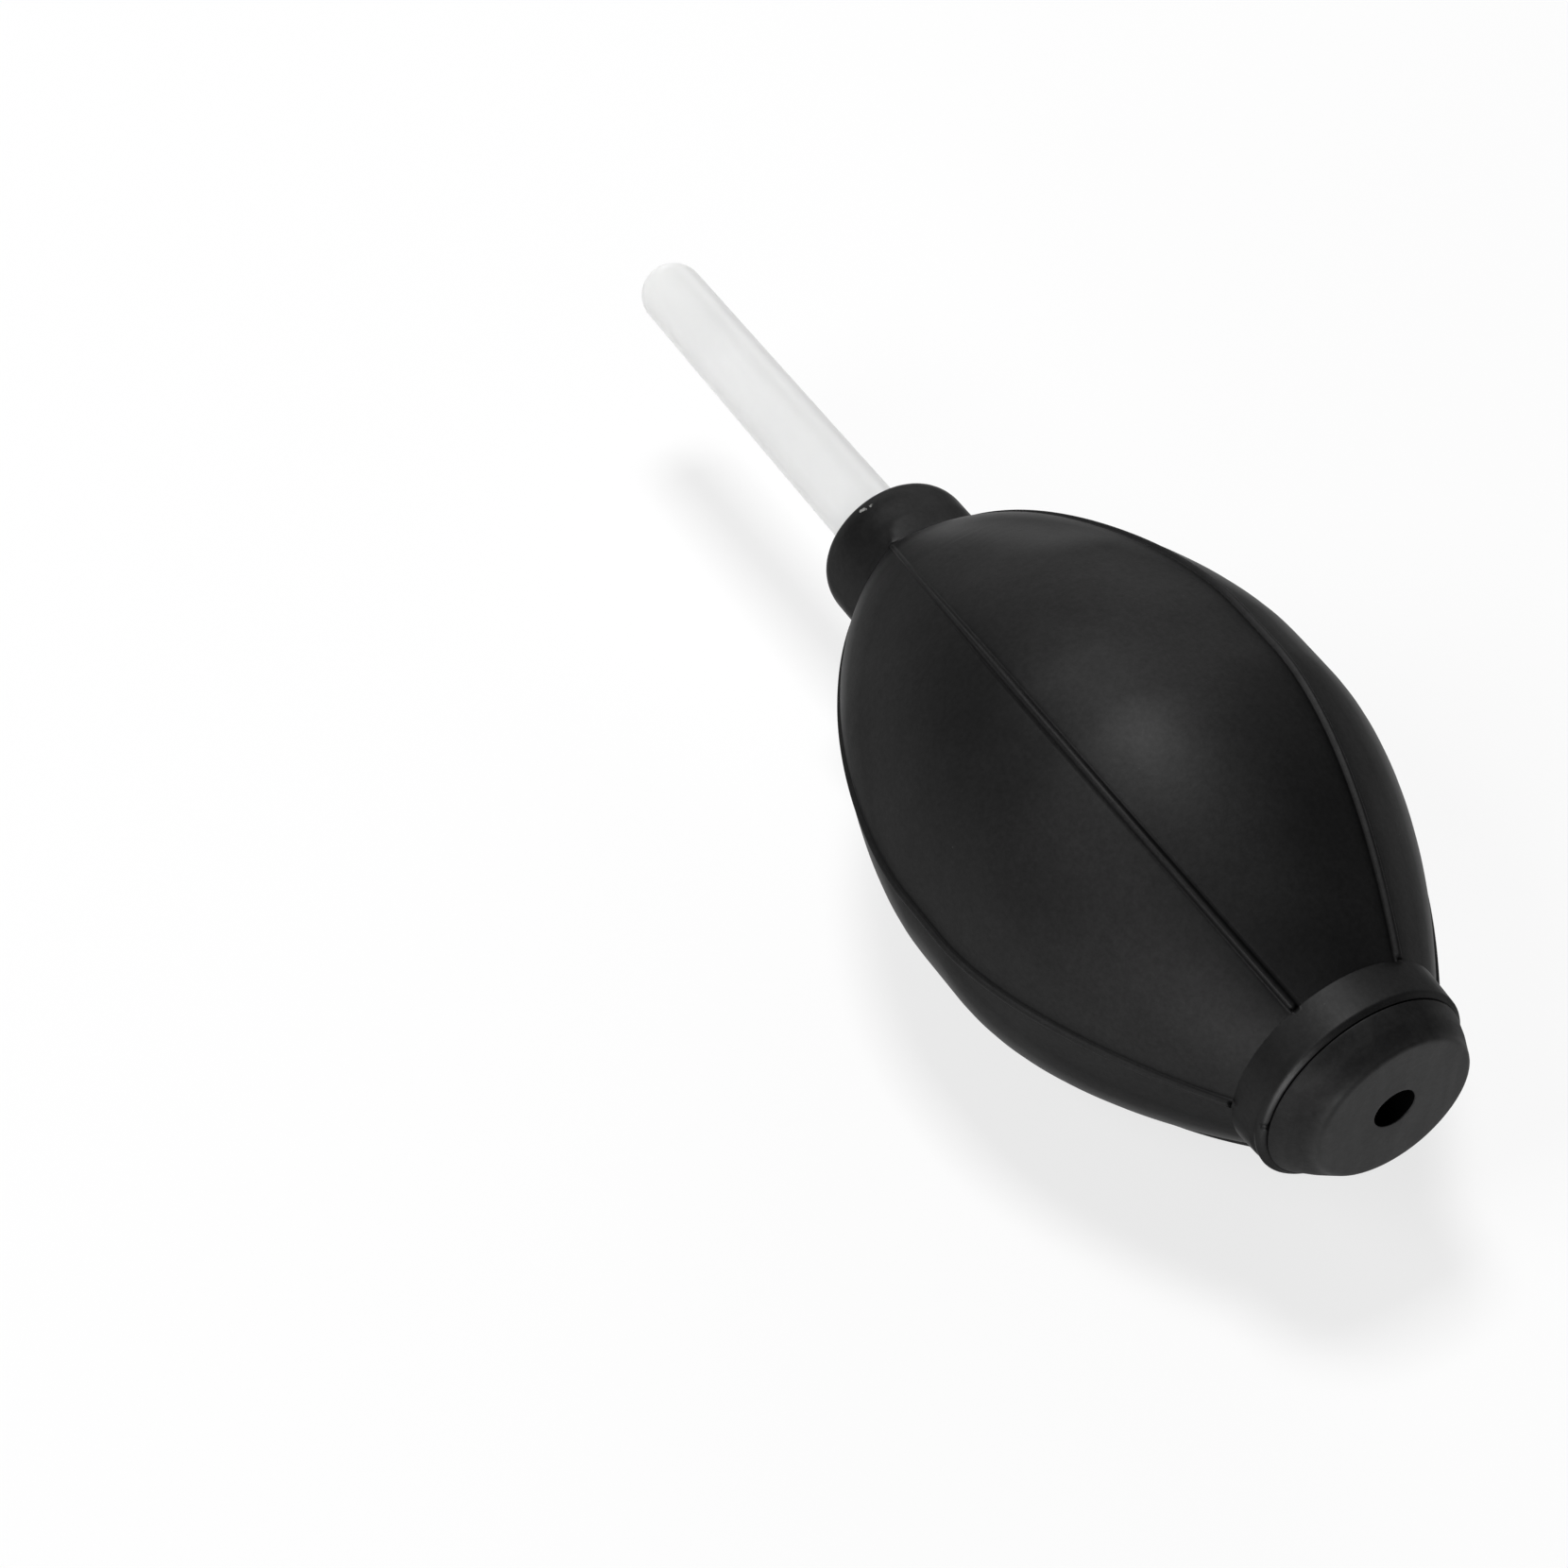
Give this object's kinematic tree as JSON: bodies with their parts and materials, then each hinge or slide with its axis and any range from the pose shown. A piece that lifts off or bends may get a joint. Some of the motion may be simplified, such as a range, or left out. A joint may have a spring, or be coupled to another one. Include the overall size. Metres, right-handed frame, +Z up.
{
  "type": "dust blower bulb",
  "caption": "Ribbed black rubber hand blower lying on its belly, with a push-in plastic nozzle and a rubber end plug that holds the intake check valve.",
  "frame": {"origin": "on the bench under the middle of the blower's bounding box, as it lies on its belly", "axes": "+X along the blower's axis from the end plug to the nozzle's tip, +Z up from the bench, +Y to the left of +X"},
  "size_m": [0.131, 0.0478, 0.0466],
  "materials": {
    "bulb_rubber": "satin black moulded rubber",
    "plug_rubber": "satin black moulded rubber, slightly greyer on its end face",
    "nozzle_plastic": "smooth milky plastic",
    "valve_plastic": "moulded black nylon",
    "disc_rubber": "smooth thin sheet rubber"
  },
  "bodies": {
    "bulb": {"bulb": "bulb_rubber"},
    "nozzle": {"nozzle": "nozzle_plastic"},
    "tail": {"end_plug": "plug_rubber", "valve_body": "valve_plastic", "valve_retainer": "valve_plastic"},
    "valve_disc": {"valve_disc": "disc_rubber"}
  },
  "joints": [
    {"name": "bulb_squeeze", "type": "slide", "parent": "bulb", "child": "tail", "axis": [1, 0, 0], "range_m": [0, 0.016], "stiffness_N_per_m": 1200, "deforming": ["bulb"]},
    {"name": "intake_valve_lift", "type": "slide", "parent": "tail", "child": "valve_disc", "axis": [1, 0, 0], "range_m": [0, 0.0014]},
    {"name": "nozzle_pull", "type": "slide", "parent": "bulb", "child": "nozzle", "axis": [1, 0, 0], "range_m": [0, 0.012]}
  ]
}
